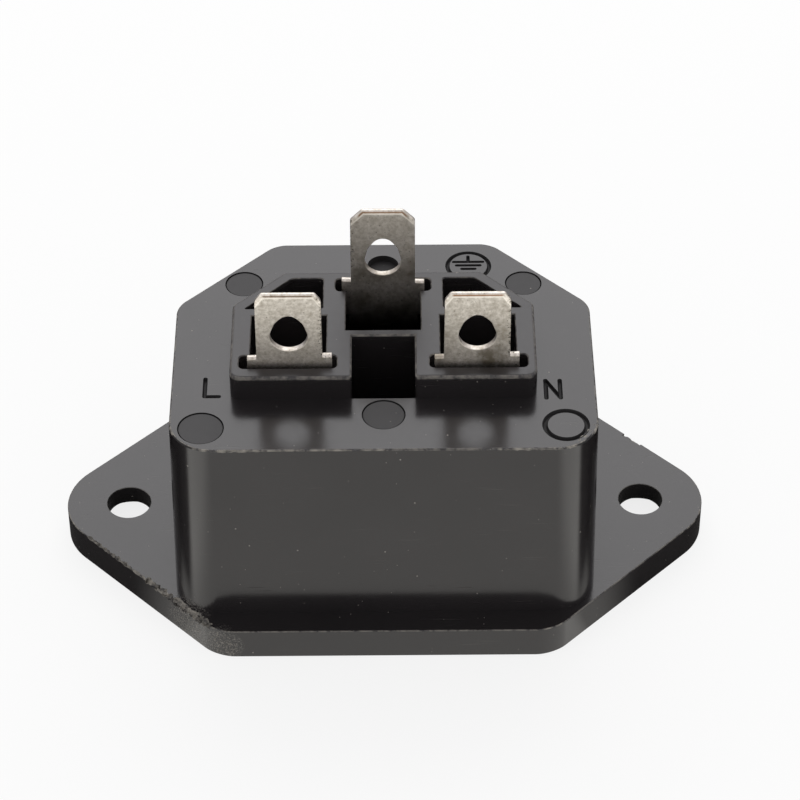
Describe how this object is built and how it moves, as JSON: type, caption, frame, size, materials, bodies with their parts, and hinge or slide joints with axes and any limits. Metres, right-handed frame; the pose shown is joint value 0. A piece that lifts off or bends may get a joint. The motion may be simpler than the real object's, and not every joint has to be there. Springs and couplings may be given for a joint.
{
  "type": "c13 power connector",
  "caption": "Panel-mount appliance outlet with a two-hole flange, a moated three-slot core and three quick-connect blades at the rear.",
  "frame": {"origin": "centre of the flange's front face, on the line through the two screw holes", "axes": "+Z towards the rear, where the blades stand; X through the two screw holes, line blade at -X; +Y towards the cut corners and the earth blade"},
  "size_m": [0.0496, 0.0282, 0.0287],
  "materials": {
    "housing_plastic": "moulded black thermoplastic, glossy, with a few scuffs",
    "contact_metal": "nickel-plated brass sheet, blanked and folded, lightly tarnished"
  },
  "bodies": {
    "root": {"housing": "housing_plastic", "line_contact": "contact_metal", "neutral_contact": "contact_metal", "earth_contact": "contact_metal"}
  },
  "joints": []
}
